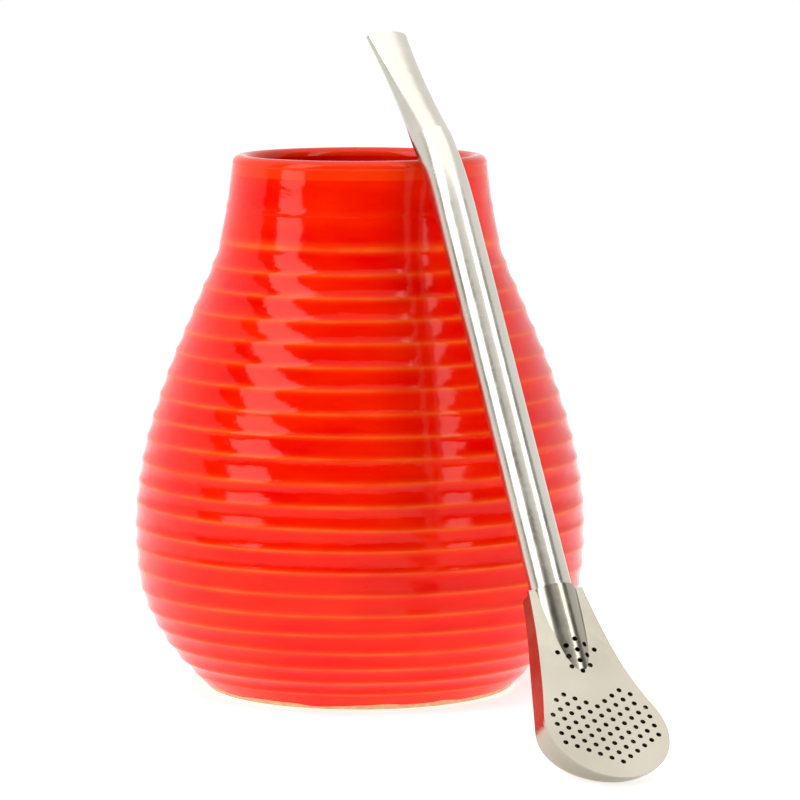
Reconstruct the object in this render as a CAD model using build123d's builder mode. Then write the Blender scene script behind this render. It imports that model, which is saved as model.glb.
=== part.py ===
from build123d import *
from math import atan2, cos, hypot, radians, sin, tan
import os

# Millimetres, +Z up. The origin is the middle of the cup's base, on the surface it stands on.
# The straw's own directions: side runs across its spoon, down runs along its tube towards the
# spoon, front is the way the pierced face looks.

# Cup: one thrown and glazed piece, ribbed outside, smooth inside
cup_height = 110.0
foot_radius = 31.6
foot_lip_height = 1.4
foot_ring_width = 6.0
foot_recess = 2.0
hip_radius = 42.3
hip_height = 12.9
belly_radius = 46.7
belly_height = 33.0
shoulder_radius = 37.9
shoulder_height = 69.9
collar_radius = 28.8
collar_height = 92.4
neck_radius = 27.4
neck_height = 99.4
rim_radius = 26.2
lip_thickness = 3.6
wall = 3.8
floor_thickness = 5.5

# Ribs: crests from the collar down to the foot, closer together towards the foot
rib_count = 22
rib_spacing = 4.95
rib_spacing_step = 0.04
rib_depth = 0.35

# Straw: one steel tube, bent over the rim, pressed oval at the mouth
tube_radius = 4.05
tube_wall = 0.5
tube_straight = 84.0
tube_inside_filter = 9.0
bend_radius = 60.0
bend_angle = 16.6
mouth_length = 31.0
mouth_width = 8.8
mouth_thickness = 3.3
waist_width = 7.6
waist_thickness = 5.6
waist_place = 11.0

# How the straw stands: its spoon on the floor in front of the cup, its tube against the rim
tip_x = 48.9
tip_y = -103.6
swing = 22.9
rim_gap = 0.25

# Spoon filter: a pierced front plate over a shallow back shell, both pressed round the tube
plate_thickness = 0.8
plate_neck_lift = 1.9
plate_neck_tilt = 8.0
plate_tilt = 20.2
plate_knee = 21.4
plate_knee_radius = 80.0
neck_half_width = 5.6
neck_flare = 6.0
spoon_radius = 12.0
spoon_centre = 31.5
flank_angle = 20.0
socket_wall = 0.5
socket_clearance = 0.1
socket_reach = 24.0
shell_gap = 0.6
shell_inset = 0.8
shell_wall = 0.6
shell_flat = 12.0
shell_tip_height = 3.0
shell_edge_radius = 1.8

# Holes: six-sided lattice, a shield of 69 in the spoon and an arrow of 12 on the socket
hole_radius = 0.5
hole_pitch = 2.2
field_start = 26.6
field_rows = 6
field_tops = [0.0, -0.5, -1.0, -1.5, -1.0, 0.5]
cluster_start = 11.7
cluster_columns = [(0.0, 3.0), (0.5, 2.5), (1.0, 1.0)]

lip_radius = lip_thickness / 2
lip_height = cup_height - lip_radius


# ---- Cup ----

with BuildLine(Plane.XZ) as body_curve:
    Spline(
        (foot_radius + 1.4, foot_lip_height),
        (hip_radius, hip_height),
        (belly_radius, belly_height),
        (shoulder_radius, shoulder_height),
        (collar_radius, collar_height),
        (neck_radius, neck_height),
        (rim_radius, lip_height),
        tangents=[(0.55, 1.0), (0.0, 1.0)],
    )
body_edge = body_curve.edges()[0]


def along_body(length):
    """Direction of the body curve, upwards, at a length up from the foot."""
    along = body_edge.tangent_at(length / body_edge.length)
    return (along.X, along.Z)


def on_body(length, depth=0.0):
    """Point of the body curve, by its length up from the foot, moved in from the surface by depth."""
    point = body_edge.position_at(length / body_edge.length)
    across, up = along_body(length)
    return (point.X - depth * up, point.Z + depth * across)


def length_at(height):
    """Length along the body curve up to a height, found by halving."""
    low, high = 0.0, body_edge.length
    while high - low > 1e-6:
        middle = (low + high) / 2
        if body_edge.position_at(middle / body_edge.length).Z < height:
            low = middle
        else:
            high = middle
    return low


crests = []
place = length_at(collar_height)
for rib in range(rib_count):
    crests.append(place)
    place -= rib_spacing - rib_spacing_step * rib

with BuildPart() as cup:
    with BuildSketch(Plane.XZ) as cup_half:
        with BuildLine() as cup_outline:
            Line((foot_radius, 0), on_body(0))
            Line(on_body(0), on_body(crests[-1]))
            for upper, lower in zip(crests[:-1], crests[1:]):
                hollow = on_body((upper + lower) / 2, rib_depth)
                ThreePointArc(on_body(lower), hollow, on_body(upper))
            Spline(
                on_body(crests[0]),
                (neck_radius, neck_height),
                (rim_radius, lip_height),
                tangents=[along_body(crests[0]), (0, 1)],
            )
            ThreePointArc(
                (rim_radius, lip_height),
                (rim_radius - lip_radius, cup_height),
                (rim_radius - lip_thickness, lip_height),
            )
            Spline(
                (rim_radius - lip_thickness, lip_height),
                (neck_radius - wall, neck_height),
                (collar_radius - wall, collar_height),
                (shoulder_radius - wall, shoulder_height),
                (belly_radius - wall, belly_height),
                (hip_radius - wall, hip_height),
                (0, floor_thickness),
                tangents=[(0, -1), (-1, 0)],
            )
            Line((0, floor_thickness), (0, foot_recess))
            Line((0, foot_recess), (foot_radius - foot_ring_width, foot_recess))
            Line((foot_radius - foot_ring_width, foot_recess), (foot_radius - foot_ring_width, 0))
            Line((foot_radius - foot_ring_width, 0), (foot_radius, 0))
        make_face()
    revolve(axis=Axis.Z)
cup.part.label = "cup"


# ---- Where the straw stands ----


def straw_line(v_from, v_to, count):
    """Points (v, n) down the straw's middle line, v along the tube from the filter, n to the front."""
    points = []
    for step in range(count + 1):
        v = v_from + (v_to - v_from) * step / count
        turn = (-v - tube_straight) / bend_radius
        if turn <= 0:
            points.append((v, 0.0))
        elif turn < radians(bend_angle):
            reach = tube_straight + bend_radius * sin(turn)
            points.append((-reach, -bend_radius * (1 - cos(turn))))
    return points


def plate_front(v):
    """How far the plate's face stands to the front of the tube's middle, off its knee's rounding."""
    knee_front = plate_neck_lift + plate_knee * tan(radians(plate_neck_tilt))
    slope = plate_neck_tilt if v < plate_knee else plate_tilt
    return knee_front + (v - plate_knee) * tan(radians(slope))


# The spoon's lowest point is the rounded tip of the back shell: the middle of that rounding
shell_tip = spoon_centre + spoon_radius - shell_inset
shell_low = plate_front(shell_tip) - plate_thickness - shell_gap - shell_tip_height
shell_deep = -tube_radius - socket_clearance - shell_wall
shell_rise = 2 * atan2(shell_low - shell_deep, shell_tip - shell_flat)
tip_v = shell_tip - shell_edge_radius
tip_n = shell_low + shell_edge_radius * (1 - sin(shell_rise)) / cos(shell_rise)


def straw_axes(lean):
    """Side, up-the-tube and front directions of a straw leaning by this many degrees."""
    side = Vector(cos(radians(swing)), sin(radians(swing)), 0)
    level = Vector(-sin(radians(swing)), cos(radians(swing)), 0)
    up = level * sin(radians(lean)) + Vector(0, 0, 1) * cos(radians(lean))
    return side, up, side.cross(up)


def straw_origin(lean):
    """Where the tube enters the filter, so that the rounded tip rests on the floor."""
    side, up, front = straw_axes(lean)
    return Vector(tip_x, tip_y, shell_edge_radius) + up * tip_v - front * tip_n


def gap_at_rim(lean):
    """Clear space between the tube and the round of the cup's rim."""
    side, up, front = straw_axes(lean)
    start = straw_origin(lean)
    gaps = []
    for v, n in straw_line(-60.0, -120.0, 240):
        point = start - up * v + front * n
        across = hypot(point.X, point.Y) - (rim_radius - lip_radius)
        gaps.append(hypot(across, point.Z - lip_height) - lip_radius - tube_radius)
    return min(gaps)


upright, flat = 15.0, 60.0
while flat - upright > 1e-7:
    straw_lean = (upright + flat) / 2
    if gap_at_rim(straw_lean) > rim_gap:
        upright = straw_lean
    else:
        flat = straw_lean

straw_side, straw_up, straw_front = straw_axes(straw_lean)
straw_start = straw_origin(straw_lean)
side_plane = Plane(origin=straw_start, x_dir=-straw_up, z_dir=-straw_side)
front_plane = Plane(origin=straw_start, x_dir=straw_side, z_dir=straw_front)
cross_plane = Plane(origin=straw_start, x_dir=straw_side, z_dir=-straw_up)


# ---- Straw tube ----


def oval(plane, width, thickness):
    """Closed smooth oval on a plane, from points at even turns of an ellipse."""
    with BuildSketch(plane) as section:
        Ellipse(width / 2, thickness / 2)
    return section.sketch


bend_turn = radians(bend_angle)
mouth_start = side_plane.from_local_coords(
    (-tube_straight - bend_radius * sin(bend_turn), -bend_radius * (1 - cos(bend_turn)))
)
mouth_along = straw_up * cos(bend_turn) - straw_front * sin(bend_turn)
mouth_plane = Plane(origin=mouth_start, x_dir=straw_side, z_dir=mouth_along)

mouth_sizes = [
    (0.0, 2 * tube_radius, 2 * tube_radius),
    (waist_place, waist_width, waist_thickness),
    (mouth_length, mouth_width, mouth_thickness),
]

with BuildPart() as straw_tube:
    with BuildLine(side_plane) as tube_path:
        straight = Line((tube_inside_filter, 0), (-tube_straight, 0))
        JernArc(straight @ 1, straight % 1, bend_radius, bend_angle)
    with BuildSketch(Plane(origin=tube_path.line @ 0, x_dir=straw_side, z_dir=straw_up)):
        Circle(tube_radius)
        Circle(tube_radius - tube_wall, mode=Mode.SUBTRACT)
    sweep(path=tube_path.line)
    for shrink, how in ((0.0, Mode.ADD), (2 * tube_wall, Mode.SUBTRACT)):
        sections = [oval(mouth_plane.offset(s), w - shrink, t - shrink) for s, w, t in mouth_sizes]
        loft(sections=sections, mode=how)
straw_tube.part.label = "straw_tube"


# ---- Spoon filter ----


def spoon_outline(plane, inset):
    """Outline of the spoon seen from the front: a neck, two flanks and a round end, moved in by inset."""
    turn = radians(flank_angle)
    round_radius = spoon_radius - inset
    flank_end = (round_radius * cos(turn), round_radius * sin(turn) - spoon_centre)
    with BuildSketch(plane) as outline:
        with BuildLine():
            flank = Spline(
                (neck_half_width - inset, 0),
                flank_end,
                tangents=[(sin(radians(neck_flare)), -cos(radians(neck_flare))), (sin(turn), -cos(turn))],
            )
            Line(flank @ 0, (0, 0))
            mirror(about=Plane.YZ)
            ThreePointArc(flank_end, (0, -spoon_centre - round_radius), (-flank_end[0], flank_end[1]))
        make_face()
    return outline.sketch


def plate_line(v_from, v_to, lower):
    """The plate's face seen from its side, as far as a given depth below it."""
    return FilletPolyline(
        (v_from, plate_front(v_from) - lower),
        (plate_knee, plate_front(plate_knee) - lower),
        (v_to, plate_front(v_to) - lower),
        radius=plate_knee_radius,
    )


def lattice(columns, start):
    """Hole places (across, down) of a six-sided lattice, from the first and last row of each column."""
    places = []
    for column, (top, bottom) in enumerate(columns):
        rows = int(bottom - top) + 1
        for side in {column, -column}:
            for row in range(rows):
                across = side * hole_pitch * cos(radians(30))
                places.append((across, -start - (top + row) * hole_pitch))
    return places


spoon_length = spoon_centre + spoon_radius
beyond = 4.0
socket_bore = tube_radius + socket_clearance

with BuildPart() as filter_front:
    with BuildSketch(side_plane):
        with BuildLine():
            face = plate_line(-beyond, spoon_length + beyond, 0)
            under = plate_line(-beyond, spoon_length + beyond, plate_thickness)
            Line(face @ 0, under @ 0)
            Line(face @ 1, under @ 1)
        make_face()
    extrude(amount=spoon_radius + beyond, both=True)
    extrude(spoon_outline(front_plane, 0), amount=spoon_length, both=True, mode=Mode.INTERSECT)
    with BuildSketch(cross_plane):
        Circle(socket_bore + socket_wall)
    extrude(amount=socket_reach)
    with BuildSketch(cross_plane.offset(-beyond)):
        Circle(socket_bore)
    extrude(amount=socket_reach + 2 * beyond, mode=Mode.SUBTRACT)
    with BuildSketch(side_plane):
        with BuildLine():
            under = plate_line(-beyond, spoon_length + beyond, plate_thickness)
            Polyline(under @ 1, (spoon_length + beyond, -spoon_length), (-beyond, -spoon_length), under @ 0)
        make_face()
    extrude(amount=spoon_radius + beyond, both=True, mode=Mode.SUBTRACT)
    field_columns = [(top, field_rows - column / 2) for column, top in enumerate(field_tops)]
    with BuildSketch(front_plane):
        with Locations(*lattice(field_columns, field_start)):
            Circle(hole_radius)
    extrude(amount=spoon_length, mode=Mode.SUBTRACT)
    with BuildSketch(front_plane):
        with Locations(*lattice(cluster_columns, cluster_start)):
            Circle(hole_radius)
    extrude(amount=spoon_length, mode=Mode.SUBTRACT)
filter_front.part.label = "filter_front"


def shell_block(inset, lift, top_gap, v_from, edge_radius):
    """Block of the back shell's form: its sides moved in by inset, its underside up by lift."""
    bottom = shell_deep + lift
    tip = spoon_centre + spoon_radius - inset
    with BuildPart() as block:
        with BuildSketch(side_plane):
            with BuildLine():
                rim = plate_line(v_from, tip + beyond, top_gap)
                floor = Line((v_from, bottom), (shell_flat, bottom))
                rise = TangentArc(floor @ 1, (tip, shell_low + lift), tangent=(1, 0))
                Polyline(rise @ 1, rise @ 1 + (rise % 1) * beyond, rim @ 1)
                Line(floor @ 0, rim @ 0)
            make_face()
        extrude(amount=spoon_radius + beyond, both=True)
        extrude(spoon_outline(front_plane, inset), amount=spoon_length, both=True, mode=Mode.INTERSECT)
        backs = block.faces().filter_by(lambda face: face.normal_at().dot(straw_front) < -0.5)
        across = backs.edges().filter_by(GeomType.LINE).filter_by(Axis(straw_start, straw_side))
        fillet([edge for edge in backs.edges() if edge not in across], edge_radius)
    return block.part


shell_inner_inset = shell_inset + shell_wall
shell_inner_radius = shell_edge_radius - shell_wall
shell_outside = shell_block(shell_inset, 0, plate_thickness + shell_gap, 0, shell_edge_radius)
shell_inside = shell_block(shell_inner_inset, shell_wall, 0, -beyond, shell_inner_radius)

with BuildPart() as filter_back:
    add(shell_outside)
    add(shell_inside, mode=Mode.SUBTRACT)
filter_back.part.label = "filter_back"

os.makedirs("parts", exist_ok=True)
for piece in (cup, straw_tube, filter_front, filter_back):
    export_step(piece.part, f"parts/{piece.part.label}.step")
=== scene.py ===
import bpy
import numpy as np
from math import cos, radians, sin
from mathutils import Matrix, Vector


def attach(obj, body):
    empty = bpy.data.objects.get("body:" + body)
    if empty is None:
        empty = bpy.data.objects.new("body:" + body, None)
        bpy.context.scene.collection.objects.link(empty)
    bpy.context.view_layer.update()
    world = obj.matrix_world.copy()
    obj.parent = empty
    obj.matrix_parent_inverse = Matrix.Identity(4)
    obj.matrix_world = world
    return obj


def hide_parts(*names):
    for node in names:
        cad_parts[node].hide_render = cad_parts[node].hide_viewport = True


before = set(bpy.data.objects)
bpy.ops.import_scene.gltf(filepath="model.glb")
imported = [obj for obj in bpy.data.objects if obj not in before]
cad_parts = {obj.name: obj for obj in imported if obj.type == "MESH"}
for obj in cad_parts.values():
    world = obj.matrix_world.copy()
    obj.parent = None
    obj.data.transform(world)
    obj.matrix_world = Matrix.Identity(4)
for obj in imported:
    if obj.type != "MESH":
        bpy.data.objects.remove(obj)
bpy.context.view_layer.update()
scene = bpy.context.scene

# ---- Cup ----
# One ceramic piece, thrown on a wheel: its throwing ribs run round the outside and its inside is smooth.
# It is dipped in a red-orange glaze that stops just above the bare, cream foot. Its rib crests, neck ring and
# lip carry a lighter orange that is painted highlight, partly the glaze thinning on the crests.

body_places = [
    (0.0330, 0.0014), (0.0394, 0.0083), (0.0449, 0.0185), (0.0467, 0.0330), (0.0451, 0.0480),
    (0.0401, 0.0647), (0.0340, 0.0795), (0.0294, 0.0906), (0.0273, 0.1000), (0.0262, 0.1082),
]
inner_places = [
    (0.0226, 0.1082), (0.0236, 0.0994), (0.0250, 0.0924), (0.0341, 0.0699), (0.0429, 0.0330),
    (0.0385, 0.0129), (0.0220, 0.0064), (0.0000, 0.0055),
]
lip_middle = (0.0244, 0.1082)
lip_round = 0.0018
foot_outside = 0.0316
foot_inside = 0.0256
foot_recess = 0.0020
rib_top = 0.0924
rib_count = 22
rib_spacing = 0.00495
rib_spacing_step = 0.00004
rib_depth = 0.00034
cup_rings = 180
outside_rows = 420
inside_rows = 60
rib_wander = 0.00013
wander_phase = 20000
crest_rounding = 0.003
crest_highlight_width = 0.13
neck_fade = 0.0022
smooth_neck_share = 0.75
collar_ring_height = 0.0995
collar_ring_half = 0.0007
collar_ring_rise = 0.00010
outside_shrink = 0.00003
lip_highlight_share = 0.55


def linear(red, green, blue):
    """A colour written in 0-255 display values, turned to the linear values that shaders use."""
    return tuple((channel / 255) ** 2.2 for channel in (red, green, blue)) + (1.0,)


def smooth_line(places, count):
    """Points evenly along a smooth line through places: on each span a cubic whose slopes at its ends are
    the mean of the two spans that meet there, measured by chord length."""
    p = np.array(places)
    chord = np.r_[0, np.cumsum(np.hypot(*np.diff(p, axis=0).T))]
    slope = np.gradient(p, chord, axis=0)
    at = np.linspace(0, chord[-1], 40 * len(p))
    k = np.clip(np.searchsorted(chord, at) - 1, 0, len(p) - 2)
    span = (chord[k + 1] - chord[k])[:, None]
    t = (at - chord[k])[:, None] / span
    fine = (
        (1 + 2 * t) * (1 - t) ** 2 * p[k] + t * (1 - t) ** 2 * span * slope[k]
        + t * t * (3 - 2 * t) * p[k + 1] + t * t * (t - 1) * span * slope[k + 1]
    )
    length = np.r_[0, np.cumsum(np.hypot(*np.diff(fine, axis=0).T))]
    even = np.linspace(0, length[-1], count)
    return np.c_[np.interp(even, length, fine[:, 0]), np.interp(even, length, fine[:, 1])]


def mesh_piece(name, points, faces):
    """A smooth-shaded mesh object from an array of points and a list of faces, riding on root."""
    mesh = bpy.data.meshes.new(name)
    mesh.from_pydata(points.tolist(), [], faces)
    mesh.validate()
    mesh.polygons.foreach_set("use_smooth", np.ones(len(mesh.polygons), bool))
    piece = bpy.data.objects.new(name, mesh)
    scene.collection.objects.link(piece)
    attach(piece, "root")
    return piece


def grid_faces(rows, columns):
    """Quads of a grid of points, closed round its columns."""
    row, column = np.meshgrid(np.arange(rows - 1), np.arange(columns), indexing="ij")
    after = (column + 1) % columns
    low = row * columns
    high = low + columns
    return np.stack([low + column, low + after, high + after, high + column], -1).reshape(-1, 4)


outside = smooth_line(body_places, outside_rows)
up_line = np.r_[0, np.cumsum(np.hypot(*np.diff(outside, axis=0).T))]
top_length = np.interp(rib_top, outside[:, 1], up_line)
rib = np.arange(rib_count)
crests = np.sort(top_length - rib * rib_spacing + rib_spacing_step * rib * (rib - 1) / 2)
turn = np.linspace(0, 2 * np.pi, cup_rings, endpoint=False)

# Ribs: a narrow rounded crest, then a wide shallow hollow. Each wanders a little up and down.
random = np.random.default_rng(4)
wander = random.normal(0, rib_wander, (rib_count, 3))
crest_here = crests[:, None] + wander[:, :1] * np.sin(turn + wander[:, 1:2] * wander_phase)
crest_here += wander[:, 2:3] * np.sin(2 * turn + wander[:, :1] * wander_phase)
# The lighter orange along each crest is painted highlight, partly the glaze thinning there: a narrow band
# round each crest, faded out above the top rib and weaker below the lowest.
crest_highlight_share = np.zeros((len(outside), cup_rings))
hollow = np.zeros_like(crest_highlight_share)
for column in range(cup_rings):
    order = np.interp(up_line, crest_here[:, column], rib)
    from_crest = np.abs(order - np.round(order))
    hollow[:, column] = 1 - (1 - 2 * np.sqrt(from_crest ** 2 + crest_rounding)) ** 2
    crest_highlight_share[:, column] = np.exp(-((from_crest / crest_highlight_width) ** 2))
above = np.clip((up_line - crests[-1]) / neck_fade, 0, 1)[:, None]
crest_highlight_share *= 1 - above * above * (3 - 2 * above)
crest_highlight_share[up_line < crests[0]] *= 0.3
relief = -rib_depth * hollow * (1 - smooth_neck_share * above)
collar_ring = np.exp(-(((outside[:, 1] - collar_ring_height) / collar_ring_half) ** 2))[:, None]
relief += collar_ring_rise * collar_ring - outside_shrink
# The neck ring gets a faint painted highlight.
crest_highlight_share = np.maximum(crest_highlight_share, 0.12 * collar_ring)

lip_turn = np.linspace(0, np.pi, 26)[1:-1]
lip = np.c_[lip_middle[0] + lip_round * np.cos(lip_turn), lip_middle[1] + lip_round * np.sin(lip_turn)]
inside = smooth_line(inner_places, inside_rows)[:-1]
foot_lines = [(0.0004, foot_recess), (foot_inside - 0.0008, foot_recess), (foot_inside, foot_recess - 0.0006)]
foot_lines += [(foot_inside, 0.0004), (foot_inside + 0.0005, 0.0), (foot_outside - 0.0004, 0.0)]
foot_lines += [(foot_outside, 0.0002), (foot_outside + 0.0008, 0.0009)]
foot = np.array(foot_lines)

slope = np.gradient(outside, axis=0)
normal = np.c_[slope[:, 1], -slope[:, 0]] / np.hypot(*slope.T)[:, None]
radius_out = outside[:, :1] + normal[:, :1] * relief
height_out = outside[:, 1:] + normal[:, 1:] * relief
profile_rest = np.vstack([lip, inside])
radius = np.vstack([
    np.repeat(foot[:, :1], cup_rings, 1), radius_out, np.repeat(profile_rest[:, :1], cup_rings, 1),
])
height = np.vstack([
    np.repeat(foot[:, 1:], cup_rings, 1), height_out, np.repeat(profile_rest[:, 1:], cup_rings, 1),
])
highlight_share = np.vstack([
    np.zeros((len(foot), cup_rings)), crest_highlight_share, np.zeros((len(profile_rest), cup_rings)),
])
# The lip gets painted highlight: the lighter orange at a fixed share all round.
highlight_share[len(foot) + len(outside) - 8:len(foot) + len(outside) + len(lip)] = lip_highlight_share
rows = len(radius)
cup_points = np.stack([radius * np.cos(turn), radius * np.sin(turn), height], -1).reshape(-1, 3)
cup_points = np.vstack([cup_points, [[0, 0, foot_recess], [0, 0, inner_places[-1][1]]]])
column = np.arange(cup_rings)
after = (column + 1) % cup_rings
under = np.c_[after, column, np.full(cup_rings, rows * cup_rings)]
floor_first = (rows - 1) * cup_rings
well = np.c_[floor_first + column, floor_first + after, np.full(cup_rings, rows * cup_rings + 1)]
cup_faces = grid_faces(rows, cup_rings).tolist() + under.tolist() + well.tolist()
cup = mesh_piece("cup_body", cup_points, cup_faces)
# The attribute rib carries this painted highlight share over to the glaze.
crest_highlight_attribute = cup.data.attributes.new("rib", "FLOAT", "POINT")
crest_highlight_attribute.data.foreach_set("value", np.r_[highlight_share.ravel(), 0.0, 0.0])
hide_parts("cup")


class Nodes:
    """A material's shader nodes, added and joined by short calls."""

    def __init__(self, name):
        self.material = bpy.data.materials.new(name)
        self.material.use_nodes = True
        self.tree = self.material.node_tree
        self.shader = self.tree.nodes["Principled BSDF"]

    def add(self, kind, **values):
        node = self.tree.nodes.new(kind)
        for key, value in values.items():
            setattr(node, key, value)
        return node

    def join(self, source, target):
        self.tree.links.new(source, target)

    def ramp(self, source, *stops):
        node = self.add("ShaderNodeValToRGB")
        for stop, (place, colour) in zip(node.color_ramp.elements, (stops[0], stops[-1])):
            stop.position, stop.color = place, colour
        for place, colour in stops[1:-1]:
            node.color_ramp.elements.new(place).color = colour
        self.join(source, node.inputs[0])
        return node.outputs[0]

    def noise(self, scale, detail=2.0, stretch=(1, 1, 1)):
        place = self.add("ShaderNodeTexCoord")
        turn = self.add("ShaderNodeMapping")
        turn.inputs["Scale"].default_value = stretch
        self.join(place.outputs["Object"], turn.inputs[0])
        noise = self.add("ShaderNodeTexNoise")
        noise.inputs["Scale"].default_value = scale
        noise.inputs["Detail"].default_value = detail
        self.join(turn.outputs[0], noise.inputs["Vector"])
        return noise.outputs["Fac"]

    def mix(self, amount, first, second):
        node = self.add("ShaderNodeMix", data_type="RGBA")
        for socket, value in ((node.inputs[0], amount), (node.inputs[6], first), (node.inputs[7], second)):
            if isinstance(value, (tuple, float)):
                socket.default_value = value
            else:
                self.join(value, socket)
        return node.outputs[2]

    def work(self, operation, first, second):
        node = self.add("ShaderNodeMath", operation=operation)
        for socket, value in zip(node.inputs, (first, second)):
            if isinstance(value, float):
                socket.default_value = value
            else:
                self.join(value, socket)
        return node.outputs[0]

    def bump(self, source, strength, distance):
        node = self.add("ShaderNodeBump")
        node.inputs["Strength"].default_value = strength
        node.inputs["Distance"].default_value = distance
        self.join(source, node.inputs["Height"])
        self.join(node.outputs[0], self.shader.inputs["Normal"])


def grey(value):
    """A grey of one linear value."""
    return (value, value, value, 1.0)


glaze = Nodes("glaze")
pooled = glaze.ramp(glaze.noise(60, 3, (1, 1, 3)), (0.3, linear(236, 10, 0)), (0.7, linear(250, 38, 0)))
# The attribute rib carries the painted highlight of the crests, neck ring and lip. Patchy noise breaks it up,
# partly like glaze thinning on the crests.
crest_highlight_here = glaze.add("ShaderNodeAttribute", attribute_name="rib").outputs["Fac"]
patchy = glaze.ramp(glaze.noise(90, 4), (0.25, grey(0.6)), (0.75, grey(1)))
patchy_crest_highlight = glaze.work("MULTIPLY", crest_highlight_here, patchy)
crest_highlight_amount = glaze.ramp(patchy_crest_highlight, (0.0, grey(0)), (0.55, grey(0.22)), (1.0, grey(0.85)))
# The light orange here is the colour of the painted highlight, mixed over the red glaze.
glaze_with_painted_highlight = glaze.mix(crest_highlight_amount, pooled, linear(255, 104, 36))
place = glaze.add("ShaderNodeSeparateXYZ")
glaze.join(glaze.add("ShaderNodeTexCoord").outputs["Object"], place.inputs[0])
edge = glaze.work("MULTIPLY", glaze.noise(70, 2), 0.0022)
bare = glaze.work("LESS_THAN", place.outputs["Z"], edge)
clay = glaze.ramp(glaze.noise(900, 5), (0.3, linear(205, 168, 124)), (0.7, linear(226, 192, 150)))
glaze.join(glaze.mix(bare, glaze_with_painted_highlight, clay), glaze.shader.inputs["Base Color"])
gloss = glaze.ramp(bare, (0.0, grey(0.1)), (1.0, grey(0.75)))
glaze.join(gloss, glaze.shader.inputs["Roughness"])
glaze.shader.inputs["Specular IOR Level"].default_value = 0.25
glaze.shader.inputs["Specular Tint"].default_value = (1.0, 0.82, 0.7, 1)
glaze.bump(glaze.noise(160, 3, (1, 1, 2)), 0.12, 0.001)
cup.data.materials.append(glaze.material)

# ---- Straw and its spoon filter ----
# A polished stainless steel tube, bent above the rim and pressed flat at the mouth. Its spoon is a pierced
# plate with a half socket over the tube, in front of a shallow shell. All three keep their solid's own mesh.


def steel_material(name, dark_tone, light_tone, least, most):
    """Stainless steel whose tone wanders softly between two greys and whose roughness wanders with its
    smudges."""
    steel = Nodes(name)
    tone = steel.ramp(steel.noise(35, 3), (0.3, linear(*dark_tone)), (0.7, linear(*light_tone)))
    steel.join(tone, steel.shader.inputs["Base Color"])
    steel.shader.inputs["Metallic"].default_value = 1.0
    smudge = steel.ramp(steel.noise(140, 4), (0.3, grey(least)), (0.8, grey(most)))
    steel.join(smudge, steel.shader.inputs["Roughness"])
    steel.bump(steel.noise(420, 2), 0.05, 0.0005)
    return steel.material


polished = steel_material("polished_steel", (200, 194, 182), (216, 211, 200), 0.20, 0.3)
pressed = steel_material("pressed_steel", (160, 154, 140), (184, 178, 164), 0.16, 0.28)
for name, material in (("straw_tube", polished), ("filter_front", pressed), ("filter_back", pressed)):
    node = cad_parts[name]
    node.data.materials.clear()
    node.data.materials.append(material)

# ---- Studio ----
# A pale table that gives off some light of its own, a white room, dark cards behind the camera, a wide soft
# lamp on the left, a narrow one on the right and one overhead.


def panel(name, centre, width, tall, facing):
    """A flat rectangle with its back turned to a point."""
    mesh = bpy.data.meshes.new(name)
    across, along = width / 2, tall / 2
    corners = [(-across, -along, 0), (across, -along, 0), (across, along, 0), (-across, along, 0)]
    mesh.from_pydata(corners, [], [(0, 1, 2, 3)])
    item = bpy.data.objects.new(name, mesh)
    item.location = centre
    away = Vector(centre) - Vector(facing)
    item.rotation_euler = away.to_track_quat("Z", "Y").to_euler()
    scene.collection.objects.link(item)
    return item


floor_side = 8.0
floor = panel("floor", (0, 0, 0), floor_side, floor_side, (0, 0, -1))
floor.rotation_euler = (0, 0, 0)
white = Nodes("white_table")
white.shader.inputs["Base Color"].default_value = (0.9, 0.9, 0.9, 1)
white.shader.inputs["Roughness"].default_value = 0.9
white.shader.inputs["Emission Color"].default_value = (1, 1, 1, 1)
white.shader.inputs["Emission Strength"].default_value = 0.64
floor.data.materials.append(white.material)

dark = Nodes("dark_cloth")
dark.shader.inputs["Base Color"].default_value = (0.05, 0.03, 0.02, 1)
dark.shader.inputs["Roughness"].default_value = 1.0
dark.shader.inputs["Specular IOR Level"].default_value = 0.0
card_distance = 2.2
card_middle = 1.42
card_width = 1.2
card_height = 2.5
for number, azimuth in enumerate(np.arange(-75, 76, 30)):
    away = card_distance * np.array([-sin(radians(azimuth)), -cos(radians(azimuth))])
    centre = (away[0], away[1], card_middle)
    card = panel("dark_card_%d" % number, centre, card_width, card_height, (0, 0, card_middle))
    card.data.materials.append(dark.material)
    card.visible_camera = False


lamp_distance = 1.3
lamp_base = 0.06


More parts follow.
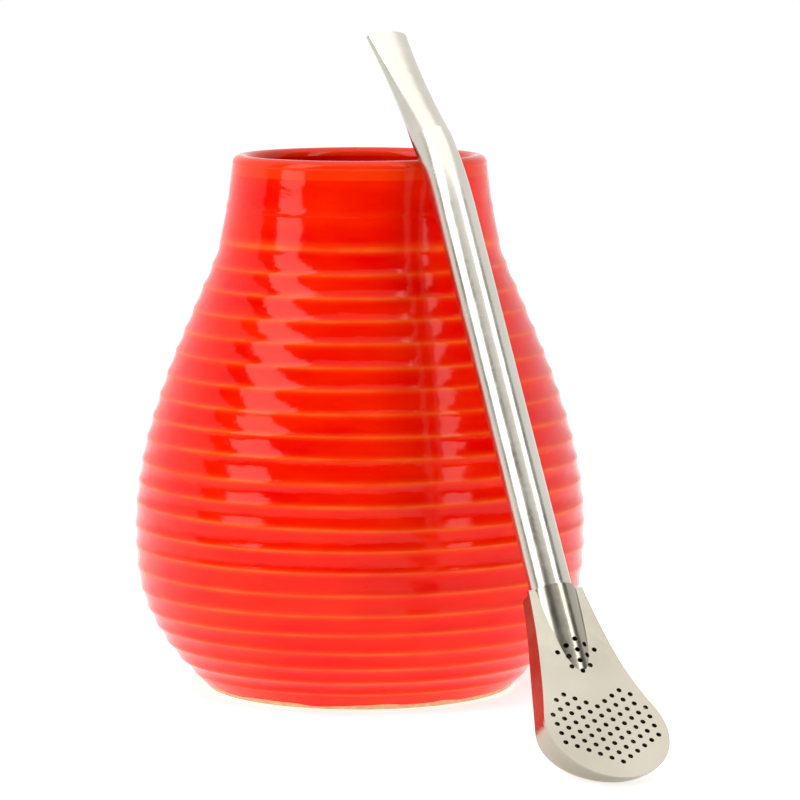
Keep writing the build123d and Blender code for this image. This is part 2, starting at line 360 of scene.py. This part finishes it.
def lamp(name, azimuth, low, high, span, power):
    """An area lamp that faces the object from degrees left of the camera. Its height runs between two
    elevations and its width takes a span, all in degrees: a size is twice the distance times the tangent of
    half its angle."""
    middle = radians((low + high) / 2)
    light = bpy.data.lights.new(name, "AREA")
    light.shape = "RECTANGLE"
    light.size = 2 * lamp_distance * np.tan(radians(span / 2))
    light.size_y = 2 * lamp_distance * np.tan(radians((high - low) / 2))
    light.energy = power
    item = bpy.data.objects.new(name, light)
    level = lamp_distance * cos(middle)
    height = lamp_distance * sin(middle) + lamp_base
    item.location = (-level * sin(radians(azimuth)), -level * cos(radians(azimuth)), height)
    item.rotation_euler = (radians(90) - middle, 0, -radians(azimuth))
    scene.collection.objects.link(item)


lamp("left_box", 62, 8, 60, 24, 9)
lamp("right_box", -52, 8, 60, 14, 4.5)
lamp("top_box", 0, 66, 114, 70, 5)

world = bpy.data.worlds.new("room")
scene.world = world
world.use_nodes = True
tree = world.node_tree
paths = tree.nodes.new("ShaderNodeLightPath")
seen = tree.nodes.new("ShaderNodeMath")
seen.operation = "ADD"
seen.use_clamp = True
tree.links.new(paths.outputs["Is Camera Ray"], seen.inputs[0])
tree.links.new(paths.outputs["Is Glossy Ray"], seen.inputs[1])
through = tree.nodes.new("ShaderNodeMath")
through.operation = "ADD"
through.use_clamp = True
tree.links.new(seen.outputs[0], through.inputs[0])
tree.links.new(paths.outputs["Is Transmission Ray"], through.inputs[1])
strength = tree.nodes.new("ShaderNodeMapRange")
strength.inputs["To Min"].default_value = 0.40
strength.inputs["To Max"].default_value = 1.0
tree.links.new(through.outputs[0], strength.inputs["Value"])
background = tree.nodes["Background"]
background.inputs[0].default_value = (1, 1, 1, 1)
tree.links.new(strength.outputs[0], background.inputs[1])

camera = bpy.data.cameras.new("camera")
camera.sensor_width = 36.0
camera.lens = 198.0
camera_pitch = 6.6
viewer = bpy.data.objects.new("camera", camera)
viewer.location = (0.00829, -0.90347, 0.16365)
viewer.rotation_euler = (radians(90 - camera_pitch), 0, 0)
scene.collection.objects.link(viewer)
scene.camera = viewer
scene.view_settings.view_transform = "Standard"
